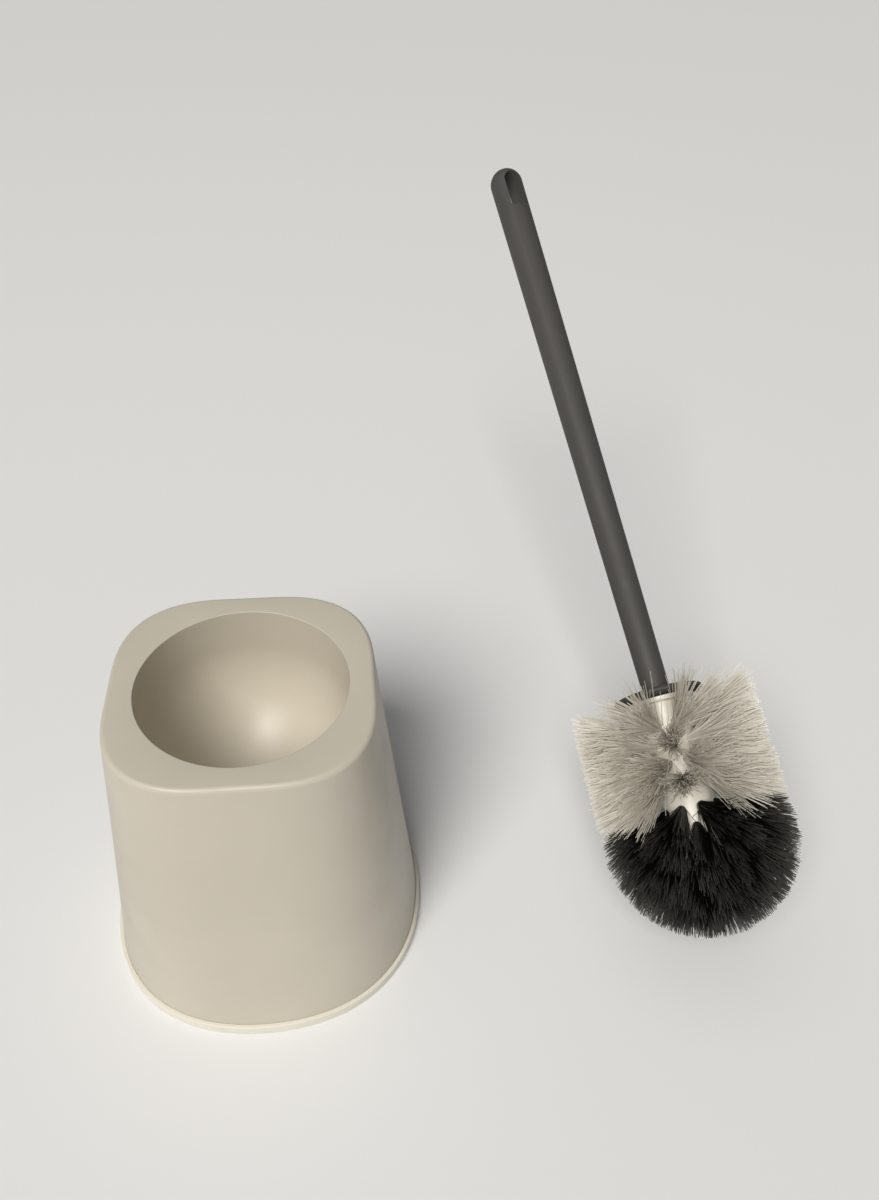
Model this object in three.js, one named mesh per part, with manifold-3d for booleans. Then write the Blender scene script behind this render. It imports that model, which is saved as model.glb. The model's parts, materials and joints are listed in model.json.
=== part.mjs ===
// A toilet brush set: a flared holder with a round cup, the tray it stands on,
// and the brush held tilted beside it, head low and handle end high.
// Millimetres, +Z up. The origin is on the floor under the middle of the cup.
import * as THREE from 'three';
import { mergeVertices } from 'three/addons/utils/BufferGeometryUtils.js';
import Module from 'manifold-3d';

const wasm = await Module();
wasm.setup();

// ---- driving dimensions --------------------------------------------------

const CLEARANCE = 0.3;           // gap between any two pieces that meet

// Holder body: plan outlines are circles with four slightly flattened sides.
const HOLDER_HEIGHT = 145;       // floor to rim
const RIM_WIDTH = 13.7;          // mean width of the flat rim, from the cup to its outer edge
const RIM_FLATTENING = 3.6;      // how far a side is pulled in, and a corner pushed out
const RIM_ROUNDING = 3;
const FOOT_FLARE = 15;           // how much further out the body's lower edge is
const FOOT_FLATTENING = 1.4;
const SKIRT_WALL = 2.6;
const RIM_WALL = 2.8;
const CUP_RADIUS = 42.3;         // the bore that the brush head drops into
const CUP_WALL = 2.2;
const CUP_FLOOR = 80;            // height of the cup's lowest point inside
const CUP_FLOOR_CURVE = 46;      // height over which the cup's floor rounds up

// Base tray: a shallow dish that the body's lower edge drops into.
const TRAY_HEIGHT = 5.2;
const TRAY_PLATE = 2.4;
const TRAY_RIM_WALL = 1.5;
const LOCATING_RING_WALL = 2;
const LOCATING_RING_HEIGHT = 12;

// Brush, measured along its axis from the middle of the round end of the head.
const HEAD_PLAY = 1.2;           // between the bristle tips and the cup
const CORE_RADIUS = 11.5;
const CORE_SHOULDER = 12.5;      // bare stem above the last ring of tufts
const CORE_FLANGE_RADIUS = 16;   // the disc at the stem's top that the collar rests on
const CORE_FLANGE = 2;
const STUD_RADIUS = 4;
const STUD_LENGTH = 18;
const COLLAR_RADIUS = 20;
const COLLAR_THICKNESS = 3.6;
const HANDLE_LENGTH = 290.5;
const HANDLE_FOOT_RADIUS = 6.2;
const HANDLE_END_RADIUS = 8.5;
const SLOT_WIDTH = 9.2;          // the hanging slot through the handle's end
const SLOT_LENGTH = 21.5;
const SLOT_TO_TIP = 6;           // wall left between the slot and the rounded end
const SLOT_TURN = 9;             // degrees the slot is turned from the brush's front

// Bristle tufts.
const TUFT_ROOT_RADIUS = 1.9;
const TUFT_TIP_RADIUS = 8.4;
const TUFT_SEAT_DEPTH = 3;
const TUFT_STEM = 4.2;           // seat and the first stretch, before the tuft opens out
const TUFT_CROWN = 1.5;          // how much further the middle of a tuft reaches than its edge
const TUFTS_PER_RING = 8;
const LOWER_DARK_RING = 3.7;     // where its tufts leave the core, above the round end
const LOWER_DARK_DIP = 46;       // degrees its tufts lean towards the tip
const UPPER_DARK_RING = 12.2;
const UPPER_DARK_DIP = 27;
const FIRST_PALE_RING = 24;
const FIRST_PALE_DIP = 15;
const LAST_PALE_DIP = -5;
const PALE_RINGS = 4;
const RING_PITCH = 8.25;         // from one pale ring to the next
const END_TUFTS = 6;             // tufts in the ring on the round end
const END_RING_DIP = 54;
const TUFT_SIDES = 6;

// Where the brush is held.
const BRUSH_ASIDE = 74.6;         // from the tray's edge to the head, along X
const BRUSH_FORWARD = 37.9;
const BRUSH_OFF_FLOOR = 33.6;
const BRUSH_ELEVATION = 30;      // degrees the handle rises above level
const BRUSH_TURN = 9.84;         // degrees the handle swings towards -X

const BODY_SEGMENTS = 56;
const SMALL_SEGMENTS = 24;

// ---- worked-out sizes ----------------------------------------------------

const RIM_RADIUS = CUP_RADIUS + RIM_WIDTH;
const FOOT_RADIUS = RIM_RADIUS + FOOT_FLARE;
const BODY_BOTTOM = TRAY_PLATE + CLEARANCE;
const TRAY_INNER_RADIUS = FOOT_RADIUS + CLEARANCE;
const TRAY_RADIUS = TRAY_INNER_RADIUS + TRAY_RIM_WALL;
const HEAD_RADIUS = CUP_RADIUS - HEAD_PLAY;
const CORE_TOP = FIRST_PALE_RING + (PALE_RINGS - 1) * RING_PITCH + CORE_SHOULDER;
const COLLAR_BOTTOM = CORE_TOP + CLEARANCE;
const COLLAR_TOP = COLLAR_BOTTOM + COLLAR_THICKNESS;
const HANDLE_BOTTOM = COLLAR_TOP + CLEARANCE;
const HANDLE_TIP = HANDLE_BOTTOM + HANDLE_LENGTH;

// ---- colours ---------------------------------------------------------------

const IVORY = { color: 0xc8c0ac, roughness: 0.55, metalness: 0 };
const WARM_GREY = { color: 0x585752, roughness: 0.5, metalness: 0 };
const MILK_WHITE = { color: 0xdad5c8, roughness: 0.4, metalness: 0 };
const PALE_BRISTLE = { color: 0xbeb6a8, roughness: 0.6, metalness: 0 };
const DARK_BRISTLE = { color: 0x1c1b19, roughness: 0.5, metalness: 0 };

// ---- helpers ---------------------------------------------------------------

const radians = THREE.MathUtils.degToRad;
const mix = THREE.MathUtils.lerp;

function point(radius, height) {
  return new THREE.Vector2(radius, height);
}

// Points of a quarter-round or part-round arc, from one angle to another.
function arc(centreRadius, centreHeight, acrossRadius, upRadius, fromDegrees, toDegrees, steps) {
  const points = [];
  for (let i = 0; i <= steps; i += 1) {
    const angle = radians(mix(fromDegrees, toDegrees, i / steps));
    const across = centreRadius + acrossRadius * Math.cos(angle);
    points.push(point(across, centreHeight + upRadius * Math.sin(angle)));
  }
  return points;
}

// A lathe about +Z.
function turned(profile, segments) {
  return new THREE.LatheGeometry(profile, segments).rotateX(Math.PI / 2);
}

function flatteningAt(height) {
  return mix(FOOT_FLATTENING, RIM_FLATTENING, height / HOLDER_HEIGHT);
}

// A lathe about +Z whose marked profile points follow the holder's flattened outline.
function turnedAndFlattened(profile, isFlattened, segments) {
  const geometry = turned(profile, segments);
  const position = geometry.getAttribute('position');
  for (let i = 0; i < position.count; i += 1) {
    if (!isFlattened(i % profile.length)) continue;
    const x = position.getX(i);
    const y = position.getY(i);
    const radius = Math.hypot(x, y);
    const pull = flatteningAt(position.getZ(i)) * Math.cos(4 * Math.atan2(y, x));
    const scale = (radius - pull) / radius;
    position.setXY(i, x * scale, y * scale);
  }
  return geometry;
}

function toSolid(geometry) {
  const bare = geometry.clone();
  bare.deleteAttribute('normal');
  bare.deleteAttribute('uv');
  const merged = mergeVertices(bare, 1e-4);
  return new wasm.Manifold(new wasm.Mesh({
    numProp: 3,
    vertProperties: new Float32Array(merged.getAttribute('position').array),
    triVerts: new Uint32Array(merged.index.array),
  }));
}

function toGeometry(solid) {
  const mesh = solid.getMesh();
  const geometry = new THREE.BufferGeometry();
  geometry.setAttribute('position', new THREE.BufferAttribute(mesh.vertProperties, 3));
  geometry.setIndex(new THREE.BufferAttribute(mesh.triVerts, 1));
  return geometry;
}

function part(name, geometry, finish) {
  const mesh = new THREE.Mesh(geometry, new THREE.MeshStandardMaterial(finish));
  mesh.name = name;
  return mesh;
}

// ---- holder ----------------------------------------------------------------

// Outside radius of the skirt at a height, before flattening.
function skirtRadius(height) {
  const share = (height - BODY_BOTTOM) / (HOLDER_HEIGHT - BODY_BOTTOM);
  return mix(FOOT_RADIUS, RIM_RADIUS, share);
}

// One moulding: the cup, the flat rim around its mouth, and the flared skirt.
function holderBody() {
  const cupCurve = CUP_FLOOR + CUP_FLOOR_CURVE;
  const underRim = HOLDER_HEIGHT - RIM_WALL;
  const cupOutside = arc(
    0, cupCurve, CUP_RADIUS + CUP_WALL, CUP_FLOOR_CURVE + CUP_WALL, -90, 0, 7);
  cupOutside[0].x = 0;
  cupOutside.push(point(CUP_RADIUS + CUP_WALL, underRim));
  const rimShoulder = HOLDER_HEIGHT - RIM_ROUNDING;
  const rimFlat = skirtRadius(rimShoulder) - RIM_ROUNDING;
  const skirt = [
    point(skirtRadius(underRim) - SKIRT_WALL, underRim),
    point(skirtRadius(BODY_BOTTOM) - SKIRT_WALL, BODY_BOTTOM),
    point(skirtRadius(BODY_BOTTOM), BODY_BOTTOM),
    ...arc(rimFlat, rimShoulder, RIM_ROUNDING, RIM_ROUNDING, 0, 90, 4),
  ];
  const cupInside = arc(0, cupCurve, CUP_RADIUS, CUP_FLOOR_CURVE, 0, -90, 9);
  cupInside.at(-1).x = 0;
  const profile = [...cupOutside, ...skirt, point(CUP_RADIUS, HOLDER_HEIGHT), ...cupInside];
  const skirtEnd = cupOutside.length + skirt.length;
  const isSkirt = (i) => i >= cupOutside.length && i < skirtEnd;
  return part('holder_body', turnedAndFlattened(profile, isSkirt, BODY_SEGMENTS), IVORY);
}

// A dish with a low rim outside the body's edge and a locating ring inside it.
function baseTray() {
  const ringOuter = skirtRadius(LOCATING_RING_HEIGHT) - SKIRT_WALL - CLEARANCE;
  const ringInner = ringOuter - LOCATING_RING_WALL;
  const profile = [
    point(0, 0),
    point(TRAY_RADIUS, 0),
    point(TRAY_RADIUS, TRAY_HEIGHT),
    point(TRAY_INNER_RADIUS, TRAY_HEIGHT),
    point(TRAY_INNER_RADIUS, TRAY_PLATE),
    point(ringOuter, TRAY_PLATE),
    point(ringOuter, LOCATING_RING_HEIGHT),
    point(ringInner, LOCATING_RING_HEIGHT),
    point(ringInner, TRAY_PLATE),
    point(0, TRAY_PLATE),
  ];
  const isOutline = (i) => i > 0 && i < profile.length - 1;
  return part('base_tray', turnedAndFlattened(profile, isOutline, BODY_SEGMENTS), IVORY);
}

// ---- brush -----------------------------------------------------------------

// A tapered rod with a rounded end, a socket for the head's stud and a hanging slot.
function handle() {
  const socket = STUD_RADIUS + CLEARANCE;
  const socketEnd = CORE_TOP + STUD_LENGTH + CLEARANCE;
  const domeCentre = HANDLE_TIP - HANDLE_END_RADIUS;
  const dome = arc(0, domeCentre, HANDLE_END_RADIUS, HANDLE_END_RADIUS, 0, 90, 7);
  dome.at(-1).x = 0;
  const rod = turned([
    point(0, socketEnd),
    point(socket, socketEnd),
    point(socket, HANDLE_BOTTOM),
    point(HANDLE_FOOT_RADIUS, HANDLE_BOTTOM),
    ...dome,
  ], SMALL_SEGMENTS);

  const half = SLOT_WIDTH / 2;
  const slotTop = HANDLE_TIP - SLOT_TO_TIP;
  const outline = new THREE.Shape();
  outline.moveTo(-half, slotTop - SLOT_LENGTH);
  outline.lineTo(half, slotTop - SLOT_LENGTH);
  outline.lineTo(half, slotTop - half);
  outline.absarc(0, slotTop - half, half, 0, Math.PI, false);
  const through = 3 * HANDLE_END_RADIUS;
  const cutter = new THREE.ExtrudeGeometry(
    outline, { depth: through, bevelEnabled: false, curveSegments: 8 });
  cutter.rotateX(Math.PI / 2).translate(0, through / 2, 0).rotateZ(radians(SLOT_TURN));
  const solid = toSolid(rod).subtract(toSolid(cutter));
  return part('handle', toGeometry(solid), WARM_GREY);
}

// The splash disc between the head and the handle.
function splashCollar() {
  const rounding = COLLAR_THICKNESS / 2;
  const edge = arc(
    COLLAR_RADIUS - rounding, COLLAR_BOTTOM + rounding, rounding, rounding, -90, 90, 4);
  const hole = STUD_RADIUS + CLEARANCE;
  const profile = [point(hole, COLLAR_BOTTOM), ...edge, point(hole, COLLAR_TOP)];
  profile.push(profile[0].clone());
  return part('splash_collar', turned(profile, SMALL_SEGMENTS), WARM_GREY);
}

// How far a line from a point of the core runs before it meets the trimmed outline
// of the head: a cylinder with a round end.
function trimmedReach(radius, height, dip) {
  const across = Math.cos(radians(dip));
  const down = Math.sin(radians(dip));
  const toSide = (HEAD_RADIUS - radius) / across;
  if (height - toSide * down >= 0) return toSide;
  const towards = height * down - radius * across;
  const gap = HEAD_RADIUS ** 2 - radius ** 2 - height ** 2;
  return towards + Math.sqrt(towards ** 2 + gap);
}

// Every tuft's name, colour, length and the frame of its seat: the middle of its
// hole's bottom, with +Z pointing out along the tuft.
function tuftSeats() {
  const seats = [];
  const addRing = (name, finish, count, stagger, radius, height, dip) => {
    for (let i = 0; i < count; i += 1) {
      const turn = (stagger + i) * 360 / count;
      const seat = new THREE.Matrix4().makeRotationZ(radians(turn));
      seat.multiply(new THREE.Matrix4().makeTranslation(0, -radius, height));
      seat.multiply(new THREE.Matrix4().makeRotationX(radians(90 + dip)));
      seat.multiply(new THREE.Matrix4().makeTranslation(0, 0, -TUFT_SEAT_DEPTH));
      const length = trimmedReach(radius, height, dip) + TUFT_SEAT_DEPTH;
      seats.push({ name: count > 1 ? `${name}_${i + 1}` : name, finish, length, seat });
    }
  };
  const around = TUFTS_PER_RING;
  addRing('dark_tuft_1', DARK_BRISTLE, around, 0.5, CORE_RADIUS, LOWER_DARK_RING, LOWER_DARK_DIP);
  addRing('dark_tuft_2', DARK_BRISTLE, around, 0, CORE_RADIUS, UPPER_DARK_RING, UPPER_DARK_DIP);
  for (let ring = 0; ring < PALE_RINGS; ring += 1) {
    const stagger = ring % 2 === 0 ? 0.5 : 0;
    const height = FIRST_PALE_RING + ring * RING_PITCH;
    const dip = mix(FIRST_PALE_DIP, LAST_PALE_DIP, ring / (PALE_RINGS - 1));
    addRing(`pale_tuft_${ring + 1}`, PALE_BRISTLE, around, stagger, CORE_RADIUS, height, dip);
  }
  const endRadius = CORE_RADIUS * Math.cos(radians(END_RING_DIP));
  const endHeight = -CORE_RADIUS * Math.sin(radians(END_RING_DIP));
  addRing('end_tuft', DARK_BRISTLE, END_TUFTS, 0, endRadius, endHeight, END_RING_DIP);
  addRing('tip_tuft', DARK_BRISTLE, 1, 0, 0, -CORE_RADIUS, 90);
  return seats;
}

function prism(radius, fromHeight, toHeight) {
  const height = toHeight - fromHeight;
  const geometry = new THREE.CylinderGeometry(radius, radius, height, TUFT_SIDES);
  return geometry.rotateX(Math.PI / 2).translate(0, 0, fromHeight + height / 2);
}

// The white stem that holds the tufts: a rod with a rounded end, a seat for
// each tuft and a stud that goes up into the handle.
function headCore(seats) {
  const dome = arc(0, 0, CORE_RADIUS, CORE_RADIUS, -90, 0, 6);
  dome[0].x = 0;
  let solid = toSolid(turned([
    ...dome,
    point(CORE_RADIUS, CORE_TOP - CORE_FLANGE),
    point(CORE_FLANGE_RADIUS, CORE_TOP - CORE_FLANGE),
    point(CORE_FLANGE_RADIUS, CORE_TOP),
    point(STUD_RADIUS, CORE_TOP),
    point(STUD_RADIUS, CORE_TOP + STUD_LENGTH),
    point(0, CORE_TOP + STUD_LENGTH),
  ], SMALL_SEGMENTS));
  for (const { seat } of seats) {
    const hole = prism(TUFT_ROOT_RADIUS + CLEARANCE, -CLEARANCE, CORE_RADIUS);
    solid = solid.subtract(toSolid(hole.applyMatrix4(seat)));
  }
  return part('head_core', toGeometry(solid), MILK_WHITE);
}

// One bunch of bristles as a plain solid: narrow in its seat, then opening out.
function tuft({ name, finish, length, seat }) {
  const profile = [
    point(0, 0),
    point(TUFT_ROOT_RADIUS, 0),
    point(TUFT_ROOT_RADIUS, TUFT_STEM),
    point(TUFT_TIP_RADIUS, length - TUFT_CROWN),
    point(0, length),
  ];
  return part(name, turned(profile, TUFT_SIDES).applyMatrix4(seat), finish);
}

// The brush along +Z, its front (the side the hanging slot faces) towards -Y.
function brush() {
  const seats = tuftSeats();
  const group = new THREE.Group();
  group.add(handle(), splashCollar(), headCore(seats), ...seats.map(tuft));
  const aside = TRAY_RADIUS + BRUSH_ASIDE + HEAD_RADIUS;
  group.position.set(aside, -BRUSH_FORWARD, BRUSH_OFF_FLOOR + HEAD_RADIUS);
  group.rotation.set(radians(BRUSH_ELEVATION - 90), 0, radians(BRUSH_TURN), 'ZYX');
  return group;
}

// ---- the whole set ---------------------------------------------------------

const set = new THREE.Group();
set.add(baseTray(), holderBody(), brush());
export default set;
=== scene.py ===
# %% [markdown]
# # A toilet brush and its holder
#
# This lesson dresses a finished mechanical model. The sizes, the places and the joints
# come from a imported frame. Blender's work here is the surface: rounded edges, thousands
# of separate bristles, and plastics that look moulded. The steps run from the camera
# and light, through the holder, to the brush.

# %% Load the frame
import json
import math

import bpy
import numpy as np
from mathutils import Matrix, Vector


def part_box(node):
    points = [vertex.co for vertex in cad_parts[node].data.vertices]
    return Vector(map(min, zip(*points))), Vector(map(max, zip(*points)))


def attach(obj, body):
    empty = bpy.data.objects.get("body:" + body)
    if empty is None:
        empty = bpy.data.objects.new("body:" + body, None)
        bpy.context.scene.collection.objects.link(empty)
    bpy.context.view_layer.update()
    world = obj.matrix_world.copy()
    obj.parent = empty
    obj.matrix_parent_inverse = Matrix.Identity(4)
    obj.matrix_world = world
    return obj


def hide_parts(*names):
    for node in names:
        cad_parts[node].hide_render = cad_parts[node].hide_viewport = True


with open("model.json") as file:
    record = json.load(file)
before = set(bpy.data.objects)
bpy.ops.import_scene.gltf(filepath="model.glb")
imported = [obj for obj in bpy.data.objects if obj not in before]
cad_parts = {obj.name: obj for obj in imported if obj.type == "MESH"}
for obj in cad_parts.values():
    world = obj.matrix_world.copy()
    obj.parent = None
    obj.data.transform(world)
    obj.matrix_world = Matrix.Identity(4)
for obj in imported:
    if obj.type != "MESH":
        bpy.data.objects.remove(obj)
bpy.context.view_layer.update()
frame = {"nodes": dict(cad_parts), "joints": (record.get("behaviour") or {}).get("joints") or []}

MM = 0.001

# %% [markdown]
# ## The view
#
# A camera is a point, a direction and a lens. The set is seen from above, close by,
# with a fairly wide lens: that is why the near rim looks so large beside the foot.
# The camera's turn is written as three angles, the way a tripod head has them: pan,
# tilt and roll. They are combined into one rotation.

# %% Camera
CAMERA_PLACE = Vector((0.04295, -0.28145, 0.43045))
CAMERA_PAN = math.radians(-6.93)
CAMERA_TILT = math.radians(41.01)
CAMERA_ROLL = math.radians(1.94)
CAMERA_LENS = 30.0


def add_camera():
    data = bpy.data.cameras.new("camera")
    data.lens = CAMERA_LENS
    data.clip_start = 0.01
    camera = bpy.data.objects.new("camera", data)
    bpy.context.scene.collection.objects.link(camera)
    pan = Matrix.Rotation(CAMERA_PAN, 4, "Z")
    tilt = Matrix.Rotation(math.pi / 2 - CAMERA_TILT, 4, "X")
    roll = Matrix.Rotation(CAMERA_ROLL, 4, "Z")
    camera.matrix_world = Matrix.Translation(CAMERA_PLACE) @ pan @ tilt @ roll
    bpy.context.scene.camera = camera


add_camera()
print("camera at", np.round(CAMERA_PLACE, 3).tolist(), "lens", CAMERA_LENS, "mm")

# %% [markdown]
# ## Floor and light
#
# One broad sun from the front left gives the shading its direction. Its wide angle
# softens the shadow edges, as a large window does. The pale floor sends light back up
# under the holder, so the world itself can stay dim. An area light could take the
# sun's place, but a sun is equally strong everywhere, which keeps the floor even. A
# weak softbox overhead only puts a soft sheen on the rim.

# %% Studio
SUN_DIRECTION = Vector((-0.31, -0.583, 0.75))
SUN_STRENGTH = 2.75
SUN_SOFTNESS = math.radians(30)
WORLD_STRENGTH = 0.09
SOFTBOX_PLACE = Vector((-0.2, -0.15, 1.5))
SOFTBOX_SIZE = 1.0
SOFTBOX_POWER = 2.5
FLOOR_SIZE = 12.0


def add_floor():
    bpy.ops.mesh.primitive_plane_add(size=FLOOR_SIZE, location=(0, 0, 0))
    floor = bpy.context.object
    floor.name = "floor"
    material = bpy.data.materials.new("floor_paper")
    material.use_nodes = True
    shader = material.node_tree.nodes["Principled BSDF"]
    shader.inputs["Base Color"].default_value = (0.84, 0.84, 0.84, 1)
    shader.inputs["Roughness"].default_value = 0.9
    shader.inputs["Specular IOR Level"].default_value = 0.1
    floor.data.materials.append(material)


def add_sun():
    data = bpy.data.lights.new("window_light", "SUN")
    data.energy = SUN_STRENGTH
    data.angle = SUN_SOFTNESS
    data.color = (1.0, 0.98, 0.94)
    sun = bpy.data.objects.new("window_light", data)
    sun.rotation_mode = "QUATERNION"
    sun.rotation_quaternion = SUN_DIRECTION.to_track_quat("Z", "Y")
    bpy.context.scene.collection.objects.link(sun)


def add_softbox():
    data = bpy.data.lights.new("overhead_softbox", "AREA")
    data.shape = "SQUARE"
    data.size = SOFTBOX_SIZE
    data.energy = SOFTBOX_POWER
    softbox = bpy.data.objects.new("overhead_softbox", data)
    softbox.location = SOFTBOX_PLACE
    bpy.context.scene.collection.objects.link(softbox)


def set_world():
    world = bpy.data.worlds.new("soft_room")
    world.use_nodes = True
    background = world.node_tree.nodes["Background"]
    background.inputs["Color"].default_value = (0.97, 0.98, 1.0, 1)
    background.inputs["Strength"].default_value = WORLD_STRENGTH
    bpy.context.scene.world = world


add_floor()
add_sun()
add_softbox()
set_world()
bpy.context.scene.view_settings.view_transform = "Standard"
print("sun", SUN_STRENGTH, "world", WORLD_STRENGTH)

# %% [markdown]
# ## Reading sizes off the frame
#
# The holder stands square to the world, so its heights and radii can be read straight
# from its mesh. The brush is tilted. For it a frame of its own is worked out: its Z
# runs along the handle, and its X stays level. Everything on the brush is modelled
# upright in that frame and turned into place at the end.

# %% Measuring helpers
def corners_of(node):
    mesh = frame["nodes"][node].data
    points = np.empty(len(mesh.vertices) * 3)
    mesh.vertices.foreach_get("co", points)
    return points.reshape(-1, 3)


def outline_at(node, height):
    """Mean radius and flattening of a node's outer outline at a height."""
    points = corners_of(node)
    level = points[np.abs(points[:, 2] - height) < 0.05 * MM]
    corner = np.hypot(level[:, 0], level[:, 1]).max()
    flat = level[np.abs(level[:, 1]) < 0.05 * MM][:, 0].max()
    return (corner + flat) / 2, (corner - flat) / 2


def brush_frame():
    """The matrix that takes the upright brush to where it is held."""
    joint = next(j for j in frame["joints"] if j["name"] == "handle_pull")
    along = Vector(joint["axis"]).normalized()
    level = Vector((along.y, -along.x, 0)).normalized()
    front = along.cross(level)
    turn = Matrix((level, front, along)).transposed().to_4x4()
    points = corners_of("head_core") @ np.array(turn.to_3x3())
    low, high = points.min(0), points.max(0)
    middle = (low + high) / 2
    stem = points[points[:, 2] < middle[2]]
    radius = np.hypot(stem[:, 0] - middle[0], stem[:, 1] - middle[1]).max()
    origin = turn @ Vector((middle[0], middle[1], low[2] + radius))
    return Matrix.Translation(origin) @ turn, radius


TO_BRUSH_PLACE, CORE_RADIUS = brush_frame()
FROM_BRUSH_PLACE = TO_BRUSH_PLACE.inverted()


def brush_box(node):
    """Lowest and highest corner of a node in the upright brush's own frame."""
    points = corners_of(node)
    turned = points @ np.array(FROM_BRUSH_PLACE.to_3x3()).T + np.array(FROM_BRUSH_PLACE.translation)
    return turned.min(0), turned.max(0)


print("brush origin", np.round(TO_BRUSH_PLACE.translation, 4).tolist(),
      "core radius", round(CORE_RADIUS / MM, 2), "mm")

# %% [markdown]
# ## Modelling helpers
#
# Both halves of the set are full of round pieces, so the first helper works like a
# lathe. It draws half of the section by pulling one vertex from point to point, then
# spins that line all the way round. Round corners in a section are arcs, worked out
# by a formula, so an edge can have exactly the radius that a moulding tool would give.

# %% Lathe and finishing helpers
def deselect_all():
    if bpy.context.object and bpy.context.object.mode != "OBJECT":
        bpy.ops.object.mode_set(mode="OBJECT")
    bpy.ops.object.select_all(action="DESELECT")


def arc(centre, radii, start, end, steps):
    """Points of an arc in the section plane, angles in degrees."""
    angles = np.radians(np.linspace(start, end, steps + 1))
    return [(centre[0] + radii[0] * math.cos(a), centre[1] + radii[1] * math.sin(a))
            for a in angles]


def on_lathe(name, section, sides):
    """Spins a section, a list of (radius, height), about Z into a closed piece."""
    deselect_all()
    bpy.ops.mesh.primitive_plane_add(size=MM, location=(0, 0, 0))
    piece = bpy.context.object
    piece.name = name
    bpy.ops.object.mode_set(mode="EDIT")
    bpy.ops.mesh.select_all(action="SELECT")
    bpy.ops.mesh.merge(type="CENTER")
    first = Vector((section[0][0], 0, section[0][1]))
    bpy.ops.transform.translate(value=first)
    for (r0, z0), (r1, z1) in zip(section, section[1:]):
        step = (r1 - r0, 0, z1 - z0)
        bpy.ops.mesh.extrude_vertices_move(TRANSFORM_OT_translate={"value": step})
    bpy.ops.mesh.select_all(action="SELECT")
    bpy.ops.mesh.spin(steps=sides, angle=math.tau, center=(0, 0, 0), axis=(0, 0, 1))
    bpy.ops.mesh.select_all(action="SELECT")
    bpy.ops.mesh.remove_doubles(threshold=0.002 * MM)
    bpy.ops.mesh.normals_make_consistent(inside=False)
    bpy.ops.object.mode_set(mode="OBJECT")
    return piece


def smooth(piece, degrees=32):
    deselect_all()
    piece.select_set(True)
    bpy.context.view_layer.objects.active = piece
    bpy.ops.object.shade_smooth_by_angle(angle=math.radians(degrees))


def cut(piece, cutter):
    """Takes the cutter out of the piece and removes it."""
    deselect_all()
    bpy.context.view_layer.objects.active = piece
    piece.select_set(True)
    modifier = piece.modifiers.new("cut", "BOOLEAN")
    modifier.object = cutter
    modifier.operation = "DIFFERENCE"
    modifier.solver = "EXACT"
    bpy.ops.object.modifier_apply(modifier=modifier.name)
    bpy.data.objects.remove(cutter)


def finish_piece(piece, body, slot, material, *nodes):
    """Gives a piece its material and its body, and hides the CAD nodes that it stands for."""
    piece.data.materials.clear()
    piece.data.materials.append(material)
    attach(piece, body)
    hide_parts(*nodes)
    print(piece.name, "has", len(piece.data.polygons), "faces")


# %% [markdown]
# ## Surface effects as node groups
#
# Three effects turn up on more than one plastic, so each is a small group of shader
# nodes with named inputs. *Moulded grain* is the fine orange-peel of a steel mould.
# *Cloudy tint* drifts a colour slightly darker and lighter over centimetres, as
# pigment does. *Handling marks* scatters a few faint specks and rubbed patches.

# %% Node group helpers
class Graph:
    """A thin wrapper that adds and links nodes in a material or a group."""

    def __init__(self, tree):
        self.tree = tree

    def add(self, kind, values=None, **settings):
        node = self.tree.nodes.new(kind)
        for key, value in settings.items():
            setattr(node, key, value)
        for key, value in (values or {}).items():
            if isinstance(value, bpy.types.NodeSocket):
                self.tree.links.new(value, node.inputs[key])
            else:
                node.inputs[key].default_value = value
        return node

    def link(self, source, target):
        self.tree.links.new(source, target)


def new_group(name, inputs, outputs):
    group = bpy.data.node_groups.new(name, "ShaderNodeTree")
    for label, kind, default in inputs:
        socket = group.interface.new_socket(label, in_out="INPUT", socket_type=kind)
        socket.default_value = default
    for label, kind in outputs:
        group.interface.new_socket(label, in_out="OUTPUT", socket_type=kind)
    graph = Graph(group)
    return graph, graph.add("NodeGroupInput"), graph.add("NodeGroupOutput")


FLOAT, COLOR, VECTOR = "NodeSocketFloat", "NodeSocketColor", "NodeSocketVector"


def moulded_grain_group():
    graph, given, out = new_group(
        "moulded_grain",
        [("Place", VECTOR, (0, 0, 0)), ("Fineness", FLOAT, 2500), ("Waviness", FLOAT, 60)],
        [("Height", FLOAT)])
    fine = graph.add("ShaderNodeTexNoise", {"Vector": given.outputs["Place"],
                                            "Scale": given.outputs["Fineness"], "Detail": 2.0})
    broad = graph.add("ShaderNodeTexNoise", {"Vector": given.outputs["Place"],
                                             "Scale": given.outputs["Waviness"], "Detail": 1.0})
    swell = graph.add("ShaderNodeMath", {0: broad.outputs["Fac"], 1: 1.5}, operation="MULTIPLY")
    height = graph.add("ShaderNodeMath", {0: fine.outputs["Fac"], 1: swell.outputs[0]},
                       operation="ADD")
    graph.link(height.outputs[0], out.inputs["Height"])
    return graph.tree


def cloudy_tint_group():
    graph, given, out = new_group(
        "cloudy_tint",
        [("Place", VECTOR, (0, 0, 0)), ("Tint", COLOR, (1, 1, 1, 1)),
         ("Shade", COLOR, (0, 0, 0, 1)), ("Scale", FLOAT, 12)],
        [("Tinted", COLOR)])
    clouds = graph.add("ShaderNodeTexNoise", {"Vector": given.outputs["Place"],
                                              "Scale": given.outputs["Scale"],
                                              "Detail": 4.0, "Roughness": 0.55})
    spread = graph.add("ShaderNodeMapRange", {"Value": clouds.outputs["Fac"],
                                              "From Min": 0.3, "From Max": 0.7})
    tinted = graph.add("ShaderNodeMix", {"Factor": spread.outputs[0]}, data_type="RGBA")
    graph.link(given.outputs["Shade"], tinted.inputs[6])
    graph.link(given.outputs["Tint"], tinted.inputs[7])
    graph.link(tinted.outputs[2], out.inputs["Tinted"])
    return graph.tree


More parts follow.
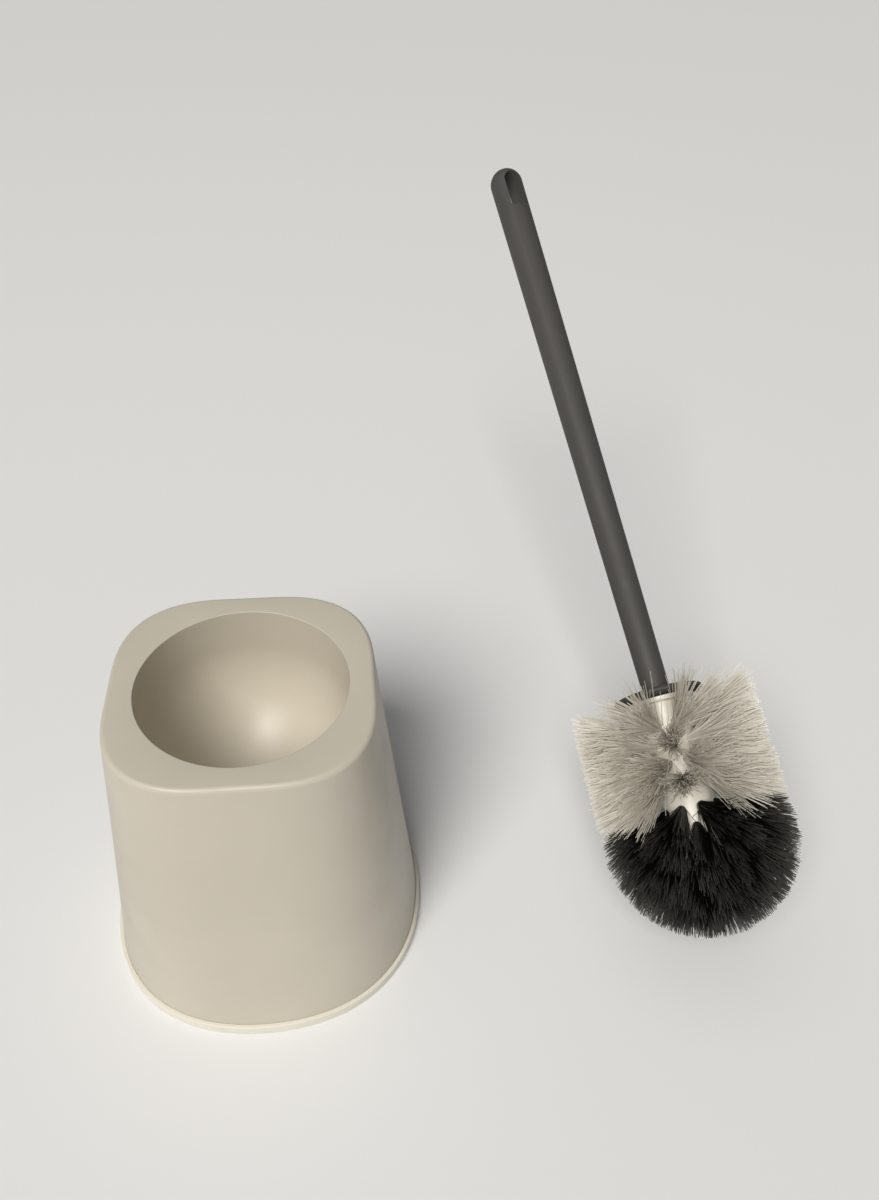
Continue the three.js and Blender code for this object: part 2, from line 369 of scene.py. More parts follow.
def handling_marks_group():
    graph, given, out = new_group(
        "handling_marks",
        [("Place", VECTOR, (0, 0, 0)), ("Spacing", FLOAT, 45), ("Speck", FLOAT, 0.035)],
        [("Specks", FLOAT), ("Rubbed", FLOAT)])
    cells = graph.add("ShaderNodeTexVoronoi", {"Vector": given.outputs["Place"],
                                               "Scale": given.outputs["Spacing"]})
    edge = graph.add("ShaderNodeMath", {0: given.outputs["Speck"], 1: cells.outputs["Distance"]},
                     operation="SUBTRACT", use_clamp=True)
    sharp = graph.add("ShaderNodeMath", {0: edge.outputs[0], 1: 40.0},
                      operation="MULTIPLY", use_clamp=True)
    lucky = graph.add("ShaderNodeSeparateColor", {"Color": cells.outputs["Color"]})
    few = graph.add("ShaderNodeMath", {0: lucky.outputs[0], 1: 0.55}, operation="GREATER_THAN")
    specks = graph.add("ShaderNodeMath", {0: sharp.outputs[0], 1: few.outputs[0]},
                       operation="MULTIPLY")
    streaks = graph.add("ShaderNodeTexNoise", {"Vector": given.outputs["Place"],
                                               "Scale": 38.0, "Detail": 5.0, "Distortion": 0.8})
    rubbed = graph.add("ShaderNodeMapRange", {"Value": streaks.outputs["Fac"],
                                              "From Min": 0.45, "From Max": 0.75})
    graph.link(specks.outputs[0], out.inputs["Specks"])
    graph.link(rubbed.outputs[0], out.inputs["Rubbed"])
    return graph.tree


GRAIN = moulded_grain_group()
CLOUDY = cloudy_tint_group()
MARKS = handling_marks_group()
print("node groups:", [g.name for g in (GRAIN, CLOUDY, MARKS)])

# %% [markdown]
# ## Moulded plastics
#
# Polypropylene mouldings are never one flat colour: the tint drifts, the gloss varies
# where hands and cloths have been, and the mould's fine texture breaks up the
# highlights. One function builds that stack, and each plastic gives it its own values.

# %% Plastic materials
def plastic(name, tint, shade, speck, roughness, grain, fineness, specular):
    material = bpy.data.materials.new(name)
    material.use_nodes = True
    graph = Graph(material.node_tree)
    shader = material.node_tree.nodes["Principled BSDF"]
    place = graph.add("ShaderNodeTexCoord").outputs["Object"]
    cloudy = graph.add("ShaderNodeGroup", node_tree=CLOUDY)
    cloudy.inputs["Tint"].default_value = (*tint, 1)
    cloudy.inputs["Shade"].default_value = (*shade, 1)
    cloudy.inputs["Scale"].default_value = 14
    marks = graph.add("ShaderNodeGroup", node_tree=MARKS)
    peel = graph.add("ShaderNodeGroup", node_tree=GRAIN)
    peel.inputs["Fineness"].default_value = fineness
    for group in (cloudy, marks, peel):
        graph.link(place, group.inputs["Place"])
    faint = graph.add("ShaderNodeMath", {0: marks.outputs["Specks"], 1: 0.28},
                      operation="MULTIPLY")
    colour = graph.add("ShaderNodeMix", {"Factor": faint.outputs[0]}, data_type="RGBA")
    graph.link(cloudy.outputs["Tinted"], colour.inputs[6])
    colour.inputs[7].default_value = (*speck, 1)
    graph.link(colour.outputs[2], shader.inputs["Base Color"])
    gloss = graph.add("ShaderNodeMapRange", {"Value": marks.outputs["Rubbed"],
                                             "To Min": roughness - 0.06,
                                             "To Max": roughness + 0.08})
    graph.link(gloss.outputs[0], shader.inputs["Roughness"])
    bump = graph.add("ShaderNodeBump", {"Height": peel.outputs["Height"],
                                        "Strength": grain, "Distance": 0.05 * MM})
    graph.link(bump.outputs["Normal"], shader.inputs["Normal"])
    shader.inputs["Specular IOR Level"].default_value = specular
    return material


IVORY = plastic("ivory_plastic", (0.62, 0.567, 0.472), (0.575, 0.525, 0.432),
                (0.34, 0.27, 0.20), 0.44, 0.5, 1800, 0.5)
# A lighter copy of the ivory for the tray: its extra lightness is painted light, bounced up from
# the floor.
FLOOR_LIT_IVORY = plastic("ivory_with_painted_floor_light", (0.80, 0.76, 0.67), (0.76, 0.72, 0.62),
                (0.42, 0.33, 0.24), 0.44, 0.5, 1800, 0.5)
WARM_GREY = plastic("warm_grey_plastic", (0.080, 0.076, 0.070), (0.068, 0.065, 0.060),
                    (0.15, 0.14, 0.125), 0.62, 1.0, 1500, 0.3)
MILK_WHITE = plastic("milk_white_plastic", (0.80, 0.76, 0.68), (0.74, 0.70, 0.61),
                     (0.4, 0.35, 0.28), 0.3, 0.25, 900, 0.5)
print("plastics:", [m.name for m in (IVORY, FLOOR_LIT_IVORY, WARM_GREY, MILK_WHITE)])

# %% [markdown]
# ## The holder's body
#
# The real body is a single moulding: a flared skirt, a flat rim, and a round cup that
# hangs from the rim. On the lathe its section is one closed line, walked up the
# outside of the cup, down the inside of the skirt, back up its outside, over the rim
# and down into the cup. The skirt isn't quite round. Its sides are
# slightly flattened, more at the top than at the foot, so the turned piece is pulled
# in and out afterwards by a wave with four crests, which no plain transform can do.
# How deep the cup is can't be seen from outside, so it is simply read off the frame.

# %% Holder body
BODY_SIDES = 160
WALL = 2.6 * MM
CUP_WALL = 2.2 * MM
RIM_ROUND = 2.2 * MM
BELOW_ROUNDING = 3.0 * MM
MOUTH_ROUND = 0.4 * MM
FOOT_ROUND = 0.3 * MM
LEDGE_HEIGHT = 5.2 * MM

body_low, body_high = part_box("holder_body")
FOOT_HEIGHT, RIM_HEIGHT = body_low.z, body_high.z
FOOT_RADIUS, FOOT_FLATTENING = outline_at("holder_body", FOOT_HEIGHT)
SHOULDER_RADIUS, SHOULDER_FLATTENING = outline_at("holder_body", RIM_HEIGHT - BELOW_ROUNDING)


def cup_size():
    """Radius of the cup, and the height and floor of its rounded end."""
    points = corners_of("holder_body")
    radius = np.hypot(points[:, 0], points[:, 1])
    top = points[:, 2] > RIM_HEIGHT - 0.05 * MM
    cup = radius[top].min()
    wall = (np.abs(radius - cup) < 0.05 * MM) & ~top
    on_axis = (radius < 0.05 * MM)
    return cup, points[wall, 2].min(), points[on_axis, 2].max()


CUP_RADIUS, CUP_CURVE_TOP, CUP_FLOOR = cup_size()


def along_skirt(height):
    share = (height - FOOT_HEIGHT) / (RIM_HEIGHT - BELOW_ROUNDING - FOOT_HEIGHT)
    return FOOT_RADIUS + (SHOULDER_RADIUS - FOOT_RADIUS) * share


def flatten_sides(piece, inner_limit):
    """Gives everything outside inner_limit the outline with four flattened sides."""
    rise = RIM_HEIGHT - BELOW_ROUNDING - FOOT_HEIGHT
    slope = (SHOULDER_FLATTENING - FOOT_FLATTENING) / rise
    for vertex in piece.data.vertices:
        radius = math.hypot(vertex.co.x, vertex.co.y)
        reach = (radius - inner_limit) / (CUP_RADIUS * 0.12)
        if reach <= 0:
            continue
        flattening = FOOT_FLATTENING + slope * (vertex.co.z - FOOT_HEIGHT)
        wave = flattening * math.cos(4 * math.atan2(vertex.co.y, vertex.co.x))
        factor = 1 - min(reach, 1.0) * wave / radius
        vertex.co.x *= factor
        vertex.co.y *= factor


def holder_section():
    curve = CUP_CURVE_TOP - CUP_FLOOR
    under = RIM_HEIGHT - WALL
    outer_cup = CUP_RADIUS + CUP_WALL
    shoulder = RIM_HEIGHT - RIM_ROUND
    foot_edge = (FOOT_RADIUS - FOOT_ROUND, FOOT_HEIGHT + FOOT_ROUND)
    above_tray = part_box("base_tray")[0].z + LEDGE_HEIGHT + 0.4 * MM
    section = arc((0, CUP_CURVE_TOP), (outer_cup, curve + CUP_WALL), -90, 0, 18)
    section += [(outer_cup, under), (along_skirt(under) - WALL, under)]
    section += [(FOOT_RADIUS - WALL, FOOT_HEIGHT)]
    section += arc(foot_edge, (FOOT_ROUND, FOOT_ROUND), -90, 0, 4)
    section += [(FOOT_RADIUS, above_tray)]
    section += arc((along_skirt(shoulder) - RIM_ROUND, shoulder),
                   (RIM_ROUND, RIM_ROUND), 0, 90, 10)
    section += arc((CUP_RADIUS + MOUTH_ROUND, RIM_HEIGHT - MOUTH_ROUND),
                   (MOUTH_ROUND, MOUTH_ROUND), 90, 180, 5)
    section += arc((0, CUP_CURVE_TOP), (CUP_RADIUS, curve), 0, -90, 30)
    return section


holder_body = on_lathe("holder_shell", holder_section(), BODY_SIDES)
flatten_sides(holder_body, CUP_RADIUS + CUP_WALL)
smooth(holder_body)
finish_piece(holder_body, "holder", "ivory_plastic", IVORY, "holder_body")
print("cup radius", round(CUP_RADIUS / MM, 1), "floor at", round(CUP_FLOOR / MM, 1), "mm")

# %% [markdown]
# ## The base tray
#
# The tray is a shallow dish. Only its rim shows: a narrow band round the foot, with a
# ledge where the body drops in. Its edges are rounded by less than a millimetre,
# enough to catch a thin line of light. It is turned on the lathe and flattened by the
# same wave as the body, so the two outlines stay parallel.

# %% Base tray
tray_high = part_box("base_tray")[1]
PLATE = 2.4 * MM
TRAY_EDGE = 0.6 * MM
GAP = 0.3 * MM
SEAM = 0.1 * MM
TRAY_RADIUS, _ = outline_at("base_tray", LEDGE_HEIGHT)


def tray_section():
    inner = FOOT_RADIUS + SEAM
    ring = along_skirt(tray_high.z) - WALL - GAP
    section = [(0, 0), (TRAY_RADIUS * 0.6, 0)]
    section += arc((TRAY_RADIUS - TRAY_EDGE, TRAY_EDGE), (TRAY_EDGE, TRAY_EDGE), -90, 0, 5)
    section += arc((TRAY_RADIUS - TRAY_EDGE, LEDGE_HEIGHT - TRAY_EDGE),
                   (TRAY_EDGE, TRAY_EDGE), 0, 90, 5)
    section += [(inner, LEDGE_HEIGHT), (inner, PLATE), (ring, PLATE), (ring, tray_high.z)]
    section += [(ring - 2 * MM, tray_high.z), (ring - 2 * MM, PLATE), (0, PLATE)]
    return section


base_tray = on_lathe("tray_dish", tray_section(), BODY_SIDES)
flatten_sides(base_tray, CUP_RADIUS + CUP_WALL)
smooth(base_tray)
# The tray's lighter ivory is painted light from the floor's bounce, not a colour of its own.
finish_piece(base_tray, "base", "ivory_plastic", FLOOR_LIT_IVORY, "base_tray")

# %% [markdown]
# ## The handle
#
# A tapered rod with a rounded end and a slot to hang it by. The rod comes off the
# lathe. The slot is cut by a block whose top edges are bevelled until they meet in a
# half circle, which is how the moulding pin in the real tool is shaped. Afterwards
# the sharp edges that the cut leaves are bevelled a little, because moulded edges
# are never knife sharp.

# %% Handle
HANDLE_SIDES = 72
HANDLE_SHARP_EDGE = 40           # degrees, above which an edge stays sharp
SLOT_HALF = 4.6 * MM
SLOT_LENGTH = 21.5 * MM
SLOT_TO_TIP = 6.0 * MM
SLOT_TURN = math.radians(9)
SLOT_EDGE = 0.45 * MM
SLOT_TOP_ROUND, SLOT_TOP_STEPS = SLOT_HALF * 0.98, 14
SLOT_FOOT_ROUND, SLOT_FOOT_STEPS = 1.2 * MM, 5

handle_low, handle_high = brush_box("handle")
HANDLE_END = (handle_high[0] - handle_low[0]) / 2
HANDLE_FOOT = 6.2 * MM
SOCKET = 4.3 * MM
CORE_HIGH = brush_box("head_core")[1]


def handle_section():
    bottom, tip = handle_low[2], handle_high[2]
    socket_end = CORE_HIGH[2] + GAP
    edge = 0.4 * MM
    section = [(0, socket_end), (SOCKET, socket_end), (SOCKET, bottom)]
    section += arc((HANDLE_FOOT - edge, bottom + edge), (edge, edge), -90, 0, 4)
    section += arc((0, tip - HANDLE_END), (HANDLE_END, HANDLE_END), 0, 90, 18)
    return section


def slot_cutter():
    deselect_all()
    middle = handle_high[2] - SLOT_TO_TIP - SLOT_LENGTH / 2
    bpy.ops.mesh.primitive_cube_add(size=1, location=(0, 0, middle))
    block = bpy.context.object
    block.scale = (2 * SLOT_HALF, 4 * HANDLE_END, SLOT_LENGTH)
    bpy.ops.object.transform_apply(location=True, rotation=True, scale=True)
    corners = ((True, SLOT_TOP_ROUND, SLOT_TOP_STEPS),
               (False, SLOT_FOOT_ROUND, SLOT_FOOT_STEPS))
    for at_top, offset, segments in corners:
        bpy.ops.object.mode_set(mode="EDIT")
        bpy.ops.mesh.select_all(action="DESELECT")
        bpy.ops.object.mode_set(mode="OBJECT")
        for edge in block.data.edges:
            a, b = (block.data.vertices[i].co for i in edge.vertices)
            is_lengthwise = abs(a.x - b.x) < 1e-6 and abs(a.z - b.z) < 1e-6
            end = middle + SLOT_LENGTH / 2 if at_top else middle - SLOT_LENGTH / 2
            edge.select = is_lengthwise and abs(a.z - end) < 1e-6
        bpy.ops.object.mode_set(mode="EDIT")
        bpy.ops.mesh.select_mode(type="EDGE")
        bpy.ops.mesh.bevel(offset=offset, segments=segments, affect="EDGES")
    bpy.ops.mesh.select_mode(type="VERT")
    bpy.ops.object.mode_set(mode="OBJECT")
    block.data.transform(Matrix.Rotation(SLOT_TURN, 4, "Z"))
    return block


def soften_slot(piece):
    """Bevels the sharp edges where the slot breaks the handle's surface."""
    deselect_all()
    piece.select_set(True)
    bpy.context.view_layer.objects.active = piece
    lowest = handle_high[2] - SLOT_TO_TIP - SLOT_LENGTH - 1 * MM
    bpy.ops.object.mode_set(mode="EDIT")
    bpy.ops.mesh.select_mode(type="EDGE")
    bpy.ops.mesh.select_all(action="DESELECT")
    bpy.ops.mesh.edges_select_sharp(sharpness=math.radians(HANDLE_SHARP_EDGE))
    bpy.ops.object.mode_set(mode="OBJECT")
    for edge in piece.data.edges:
        a, b = (piece.data.vertices[i].co for i in edge.vertices)
        off_centre = min(abs(a.y), abs(b.y)) > 0.2 * HANDLE_END
        edge.select = edge.select and min(a.z, b.z) > lowest and off_centre
    bpy.ops.object.mode_set(mode="EDIT")
    bpy.ops.mesh.bevel(offset=SLOT_EDGE, segments=3, affect="EDGES", clamp_overlap=True)
    bpy.ops.mesh.select_mode(type="VERT")
    bpy.ops.object.mode_set(mode="OBJECT")


def to_brush_place(piece):
    piece.data.transform(TO_BRUSH_PLACE)
    piece.data.update()


handle = on_lathe("handle_rod", handle_section(), HANDLE_SIDES)
cut(handle, slot_cutter())
soften_slot(handle)
smooth(handle, HANDLE_SHARP_EDGE)
to_brush_place(handle)
finish_piece(handle, "grip", "grey_plastic", WARM_GREY, "handle")
print("handle length", round((handle_high[2] - handle_low[2]) / MM, 1), "mm")

# %% [markdown]
# ## The splash collar
#
# The collar is a round-edged disc trapped between the handle and the head. It stops
# water running up the handle. Its faces are very slightly domed, so drops run off.

# %% Splash collar
COLLAR_SIDES = 96


def collar_section():
    low, high = brush_box("splash_collar")
    radius = (high[0] - low[0]) / 2
    bottom, top = low[2], high[2]
    half = (top - bottom) / 2
    dome = 0.35 * MM
    section = [(SOCKET, bottom), (radius * 0.55, bottom), (radius * 0.6, bottom + dome)]
    section += arc((radius - half, bottom + half), (half, half - dome), -90, 90, 12)
    section += [(HANDLE_FOOT + 0.4 * MM, top), (SOCKET, top), (SOCKET, bottom)]
    return section


collar = on_lathe("collar_disc", collar_section(), COLLAR_SIDES)
smooth(collar)
to_brush_place(collar)
finish_piece(collar, "grip", "grey_plastic", WARM_GREY, "splash_collar")

# %% [markdown]
# ## The head's core
#
# The white stem is a smooth moulding with a blind hole for each bunch of bristles
# and a disc at its top that the collar rests on. All the holes are drilled in one
# go: one short drill is modelled, copied to every seat, joined, and taken away with a
# single boolean. The seats are read from the frame. Each tuft's solid there runs from
# its hole to its tips, so its long direction says which way the hole points.

# %% Tuft seats
HOLE_RADIUS = 2.1 * MM


def seat_of(node):
    """Matrix whose origin is the bottom of a tuft's hole: Z points out, X around the stem."""
    points = corners_of(node)
    turned = points @ np.array(FROM_BRUSH_PLACE.to_3x3()).T + np.array(FROM_BRUSH_PLACE.translation)
    middle = turned.mean(0)
    _, _, directions = np.linalg.svd(turned - middle)
    reach = (turned - middle) @ directions[0]
    ends = [turned[reach < reach.min() + 0.1 * MM].mean(0),
            turned[reach > reach.max() - 0.1 * MM].mean(0)]
    ends.sort(key=lambda end: np.linalg.norm([end[0], end[1], min(end[2], 0)]))
    root, tip = Vector(ends[0]), Vector(ends[1])
    out = (tip - root).normalized()
    around = Vector((0, 0, 1)).cross(out)
    around = around.normalized() if around.length > 0.1 else Vector((1, 0, 0))
    turn = Matrix((around, out.cross(around), out)).transposed().to_4x4()
    return Matrix.Translation(root) @ turn


TUFT_NODES = sorted(n for n in frame["nodes"] if "tuft" in n)
SEATS = {node: seat_of(node) for node in TUFT_NODES}
print("seats found:", len(SEATS))

# %% Head core
def core_section():
    top, stud_top = CORE_TOP, CORE_HIGH[2]
    section = arc((0, 0), (CORE_RADIUS, CORE_RADIUS), -90, 0, 18)
    edge = 0.6 * MM
    section += [(CORE_RADIUS, top - FLANGE), (FLANGE_RADIUS - edge, top - FLANGE)]
    section += arc((FLANGE_RADIUS - edge, top - edge), (edge, edge), 0, 90, 4)
    section += [(STUD, top), (STUD, stud_top - edge), (STUD - edge, stud_top), (0, stud_top)]
    return section


def drill_at_all_seats():
    deselect_all()
    bpy.ops.mesh.primitive_cylinder_add(vertices=24, radius=HOLE_RADIUS, depth=CORE_RADIUS)
    drill = bpy.context.object
    drill.data.transform(Matrix.Translation((0, 0, CORE_RADIUS / 2 - GAP)))
    copies = []
    for seat in SEATS.values():
        copy = drill.copy()
        copy.data = drill.data.copy()
        copy.data.transform(seat)
        bpy.context.scene.collection.objects.link(copy)
        copies.append(copy)
    bpy.data.objects.remove(drill)
    deselect_all()
    for copy in copies:
        copy.select_set(True)
    bpy.context.view_layer.objects.active = copies[0]
    bpy.ops.object.join()
    return bpy.context.object


STUD = 4.0 * MM
FLANGE = 2.0 * MM
CORE_SIDES = 72
CORE_SHARP_EDGE = 35             # degrees
FLANGE_RADIUS = CORE_HIGH[0]
CORE_TOP = brush_box("splash_collar")[0][2] - GAP
core = on_lathe("core_stem", core_section(), CORE_SIDES)
cut(core, drill_at_all_seats())
smooth(core, CORE_SHARP_EDGE)
to_brush_place(core)
finish_piece(core, "head", "white_plastic", MILK_WHITE, "head_core")

# %% [markdown]
# ## Bristle materials
#
# Bristles are nylon filament. Each one catches the light a little differently, so
# the colour is driven by two values stored on the mesh: a tone, the same all along
# one bristle, and a reach, which runs from 0 at its root to 1 at its tip. The last
# stretch fades to a tip colour: on the dark bristles a paler one, which is a painted
# glint, and on the pale ones a greyer one.
# An image texture could do this too, but values on the mesh need no unwrapping.

# %% Bristle materials
def bristle_material(name, dark, light, tip, roughness, specular):
    material = bpy.data.materials.new(name)
    material.use_nodes = True
    graph = Graph(material.node_tree)
    shader = material.node_tree.nodes["Principled BSDF"]
    tone = graph.add("ShaderNodeAttribute", attribute_name="tone").outputs["Fac"]
    reach = graph.add("ShaderNodeAttribute", attribute_name="reach").outputs["Fac"]
    strand = graph.add("ShaderNodeMix", {"Factor": tone}, data_type="RGBA")
    strand.inputs[6].default_value = (*dark, 1)
    strand.inputs[7].default_value = (*light, 1)
    near_tip = graph.add("ShaderNodeMapRange", {"Value": reach, "From Min": 0.82,
                                                "From Max": 1.0, "To Max": 0.8})
    # On the dark bristles this paler tip colour is a painted glint; on the pale ones it is only
    # greyer.
    tip_fade = graph.add("ShaderNodeMix", {"Factor": near_tip.outputs[0]}, data_type="RGBA")
    graph.link(strand.outputs[2], tip_fade.inputs[6])
    tip_fade.inputs[7].default_value = (*tip, 1)
    graph.link(tip_fade.outputs[2], shader.inputs["Base Color"])
    gloss = graph.add("ShaderNodeMapRange", {"Value": tone, "To Min": roughness + 0.12,
                                             "To Max": roughness - 0.08})
    graph.link(gloss.outputs[0], shader.inputs["Roughness"])
    shader.inputs["Specular IOR Level"].default_value = specular
    return material


PALE = bristle_material("pale_bristle", (0.60, 0.56, 0.475), (0.95, 0.91, 0.82),
                        (0.74, 0.70, 0.62), 0.45, 0.45)
# The dark bristles' paler tip colour is a painted glint on their tips.
DARK = bristle_material("dark_bristle", (0.002, 0.0019, 0.0017), (0.008, 0.0075, 0.0066),
                        (0.085, 0.082, 0.073), 0.32, 0.24)

print("bristles:", PALE.name, "and", DARK.name)

# %% [markdown]
# ## One bristle
#
# A single bristle is modelled once: a three-sided rod, extruded in a few steps
# from a small triangle and slimmer towards the tip. It has about twenty faces,
# because thousands of copies follow. It is one unit long and has a radius of one
# unit, so that each copy can be stretched to its own length.

# %% One bristle
BRISTLE_STEPS = 6


def model_bristle():
    """Unit bristle: along Z from 0 to 1, radius 1 at the root."""
    deselect_all()
    bpy.ops.mesh.primitive_circle_add(vertices=3, radius=1, fill_type="NGON")
    bristle = bpy.context.object
    bpy.ops.object.mode_set(mode="EDIT")
    bpy.ops.mesh.select_all(action="SELECT")
    for step in range(BRISTLE_STEPS):
        rise = {"value": (0, 0, 1 / BRISTLE_STEPS)}
        bpy.ops.mesh.extrude_region_move(TRANSFORM_OT_translate=rise)
        slim = 0.97 if step < BRISTLE_STEPS - 1 else 0.75
        height = (step + 1) / BRISTLE_STEPS
        bpy.ops.transform.resize(value=(slim, slim, 1), center_override=(0, 0, height))
    bpy.ops.mesh.select_all(action="SELECT")
    bpy.ops.mesh.normals_make_consistent(inside=False)
    bpy.ops.object.mode_set(mode="OBJECT")
    return bristle


bristle = model_bristle()
UNIT = np.array([v.co for v in bristle.data.vertices])
UNIT_FACES = [list(p.vertices) for p in bristle.data.polygons]
bpy.data.objects.remove(bristle)
print("one bristle has", len(UNIT_FACES), "faces and", len(UNIT), "corners")

# %% [markdown]
# ## Bunches of bristles
#
# A bunch is a few hundred copies of that bristle in one mesh. They leave the hole packed
# side by side and fan out. In a real bunch they stick together in small locks, so
# each bristle leans towards the lock that it stands nearest. Each also has its own
# bend and a faint wave. The brush is trimmed to shape in the factory, so a bristle
# is as long as it takes to reach the trimmed outline: a cylinder with a round end.

# %% Bunch helper
HEAD_ACROSS = brush_box("pale_tuft_2_5")[1] - brush_box("pale_tuft_2_1")[0]
HEAD_RADIUS = HEAD_ACROSS[1] / 2
ROOT_RADIUS = 1.75 * MM
GOLDEN_SHARE = 3 - math.sqrt(5)  # the golden angle, in half turns
LOCKS = 11
LOCK_SPREAD = 0.62
LOCK_HOLD = (0.2, 0.6)
LOCK_BEND = 1.2
LEAN_SCATTER = 0.10
STRAYS = 0.015
STRAY_LEAN = 2.0
TRIM_SCATTER = 0.25 * MM
WAVE_SIZE = 0.15                 # mm
WAVE_TURNS = 7
THICKNESS_RANGE = (0.8, 1.15)
SLANTED = (0.31, 0.22, 0.92)     # any direction that no bristle runs along
TRIM_ROUNDS = 12
SHORTEST, LONGEST = 0.3, 1.05    # shares of the head's radius


def trimmed_length(starts, ways):
    """How far from each start, in brush coordinates, the trimmed outline is."""
    length = np.full(len(starts), 0.6 * HEAD_RADIUS)
    for _ in range(TRIM_ROUNDS):
        ends = starts + ways * length[:, None]
        low = np.minimum(ends[:, 2], 0)
        distance = np.sqrt(ends[:, 0] ** 2 + ends[:, 1] ** 2 + low ** 2)
        length += HEAD_RADIUS - distance
    return np.clip(length, SHORTEST * HEAD_RADIUS, LONGEST * HEAD_RADIUS)


def packed_roots(rng, count):
    """Roots packed evenly in the hole by a sunflower's spiral."""
    order = np.arange(count) + 0.5
    radius = ROOT_RADIUS * np.sqrt(order / count)
    angle = order * math.pi * GOLDEN_SHARE + rng.uniform(0, math.tau)
    return np.stack([radius * np.cos(angle), radius * np.sin(angle), np.zeros(count)], 1)


def lean_to_locks(rng, root):
    """How far each bristle leans, and the number of the lock that it belongs to."""
    count = len(root)
    locks = rng.normal(0, LOCK_SPREAD, (LOCKS, 2))
    lean = root[:, :2] / ROOT_RADIUS
    nearest = np.argmin(((lean[:, None] - locks[None]) ** 2).sum(2), 1)
    hold = rng.uniform(*LOCK_HOLD, (count, 1))
    lean = lean * (1 - hold) + locks[nearest] * hold
    lean = lean + rng.normal(0, LEAN_SCATTER, (count, 2))
    lean *= np.where(rng.uniform(0, 1, (count, 1)) < STRAYS, STRAY_LEAN, 1.0)
    return lean, nearest


def across(direction, ways):
    """The part of each direction that is square to its bristle's way."""
    return direction - (direction * ways).sum(1, keepdims=True) * ways


def bristle_mesh(name, corners, tones):
    """A mesh of many bristles that stores each one's tone and reach."""
    count = len(tones)
    offsets = np.arange(count) * len(UNIT)
    faces = [[i + offset for i in face] for offset in offsets for face in UNIT_FACES]
    mesh = bpy.data.meshes.new(name)
    mesh.from_pydata(corners.tolist(), [], faces)
    tone = mesh.attributes.new("tone", "FLOAT", "POINT")
    tone.data.foreach_set("value", np.repeat(tones, len(UNIT)).astype(np.float32))
    reach = mesh.attributes.new("reach", "FLOAT", "POINT")
    reach.data.foreach_set("value", np.tile(UNIT[:, 2], count).astype(np.float32))
    return mesh


def bunch(name, seat, seed, count, thickness, spread, bend, ragged, opening, own_lean=(0, 0)):
    """One mesh of bristles fanning out of a seat, in brush coordinates."""
    rng = np.random.default_rng(seed)
    turn = np.array(seat.to_3x3())
    root = packed_roots(rng, count)
    lean, nearest = lean_to_locks(rng, root)
    ways = np.concatenate([lean * spread + own_lean, np.ones((count, 1))], 1)
    ways /= np.linalg.norm(ways, axis=1, keepdims=True)
    starts = np.array(seat.translation) + root @ turn.T
    outward = (ways * [0, 0, 1]) @ turn.T
    sideways = (ways * [1, 1, 0]) @ turn.T
    ways = ways @ turn.T
    length = trimmed_length(starts, ways) * (1 - ragged * rng.uniform(0, 1, count) ** 3)
    length += rng.normal(0, TRIM_SCATTER, count)
    # Bend grows with the square of the way out; the wave is small and slow.
    side = rng.normal(0, 1, (count, 3))
    side += rng.normal(0, LOCK_BEND, (LOCKS, 3))[nearest]
    side = across(side, ways)
    wave = across(rng.normal(0, 1, (count, 3)), ways)
    phase = rng.uniform(0, math.tau, count)
    across_a = np.cross(ways, SLANTED)
    across_a /= np.linalg.norm(across_a, axis=1, keepdims=True)
    across_b = np.cross(ways, across_a)
    along = UNIT[:, 2][None, :, None]
    thick = thickness / 2 * rng.uniform(*THICKNESS_RANGE, count)[:, None, None]
    span = length[:, None, None]
    waving = np.sin(along * WAVE_TURNS + phase[:, None, None])
    place = (starts[:, None] + outward[:, None] * along * span
             + sideways[:, None] * along ** opening * span
             + side[:, None] * bend * along ** 2
             + wave[:, None] * WAVE_SIZE * MM * waving * along
             + across_a[:, None] * UNIT[:, 0][None, :, None] * thick
             + across_b[:, None] * UNIT[:, 1][None, :, None] * thick)
    mesh = bristle_mesh(name, place.reshape(-1, 3), rng.uniform(0, 1, count))
    piece = bpy.data.objects.new(name, mesh)
    bpy.context.scene.collection.objects.link(piece)
    return piece


print("trimmed head radius", round(HEAD_RADIUS / MM, 1), "mm,", LOCKS, "locks in a bunch")
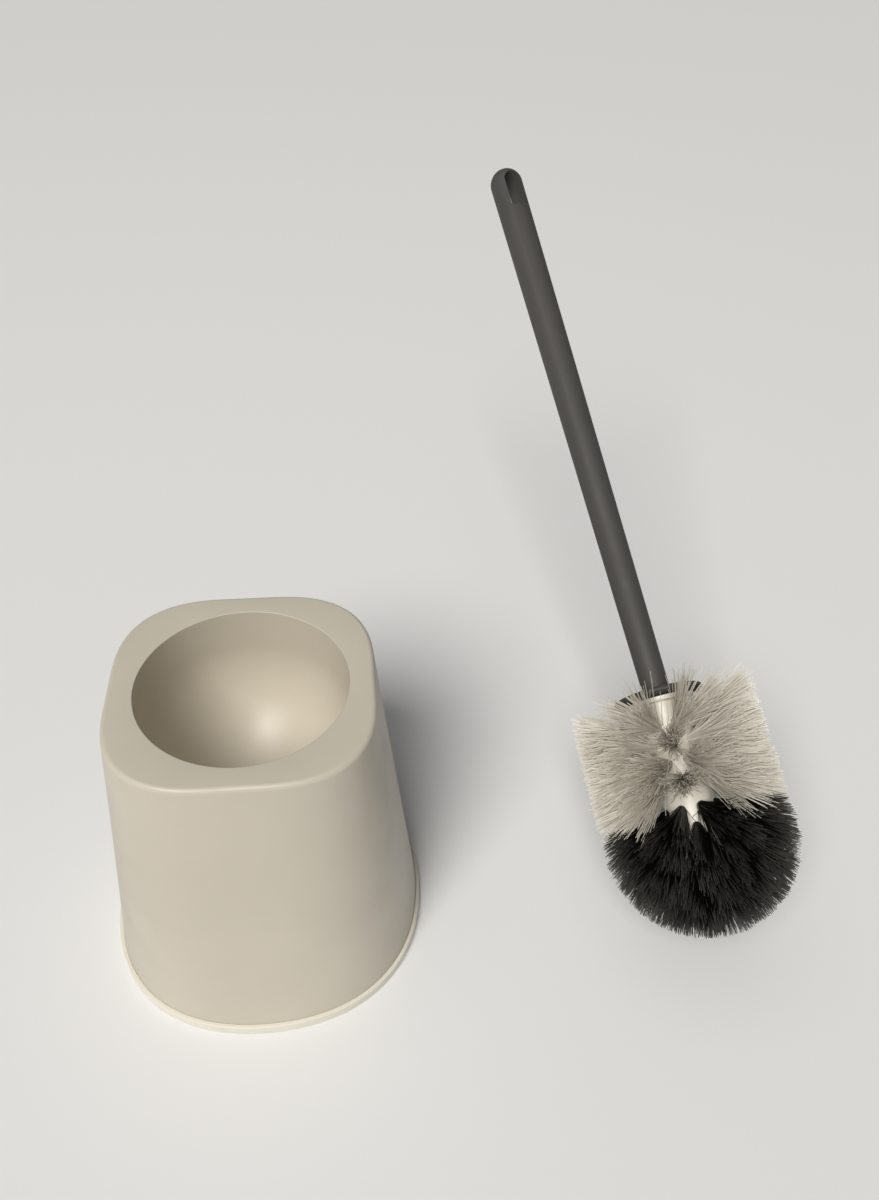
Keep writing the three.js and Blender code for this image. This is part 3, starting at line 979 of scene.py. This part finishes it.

# %% [markdown]
# ## Filling the seats
#
# Every seat gets its own bunch, so no two look alike. The pale bristles round the
# upper head are softer and bend more. The dark ones round the end are stiffer. Use
# combs some pale bunches aside, so a few have a lean of their own, and two at the
# front stay tight and leave the stem showing. These are set one by one.

# %% Tufts
FACING_FRONT = ("pale_tuft_1_8", "pale_tuft_3_8")
# How far a bunch leans around the stem and along it, as slopes.
OWN_LEAN = {
    "pale_tuft_1_1": (-0.14, -0.05),
    "pale_tuft_1_7": (0.14, -0.05),
    "pale_tuft_1_8": (0, 0.16),
    "pale_tuft_2_1": (0.05, 0.03),
    "pale_tuft_2_8": (-0.05, 0),
    "pale_tuft_4_1": (0.10, 0.18),
    "pale_tuft_4_2": (-0.04, 0.12),
    "pale_tuft_4_3": (0, 0.05),
    "pale_tuft_4_4": (0, 0.05),
    "pale_tuft_4_7": (0, 0.02),
    "pale_tuft_4_8": (-0.08, 0.12),
}


PALE_KIND = {"count": 250, "thickness": 0.40 * MM, "bend": 1.5 * MM,
             "ragged": 0.18, "opening": 1.2}
DARK_KIND = {"count": 290, "thickness": 0.37 * MM, "bend": 0.8 * MM,
             "ragged": 0.15, "opening": 1.3}
FIRST_SEED = 100


def spread_of(node):
    """How wide a bunch fans out: around the stem, and along it."""
    if node in FACING_FRONT:
        return 0.25, 0.20
    if node.startswith("pale_tuft_4"):
        return 0.38, 0.29
    if node.startswith("pale"):
        return 0.35, 0.24
    if node.startswith("dark"):
        return 0.36, 0.28
    return 0.36, 0.36


def fill_seat(number, node):
    is_pale = node.startswith("pale")
    kind = PALE_KIND if is_pale else DARK_KIND
    piece = bunch(f"{node}_bristles", SEATS[node], FIRST_SEED + number,
                  spread=spread_of(node), own_lean=OWN_LEAN.get(node, (0, 0)),
                  **kind)
    to_brush_place(piece)
    piece.data.materials.append(PALE if is_pale else DARK)
    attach(piece, "head")
    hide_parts(node)
    return len(piece.data.polygons)


total = sum(fill_seat(number, node) for number, node in enumerate(TUFT_NODES))
print("bunches:", len(TUFT_NODES), "bristle faces:", total)
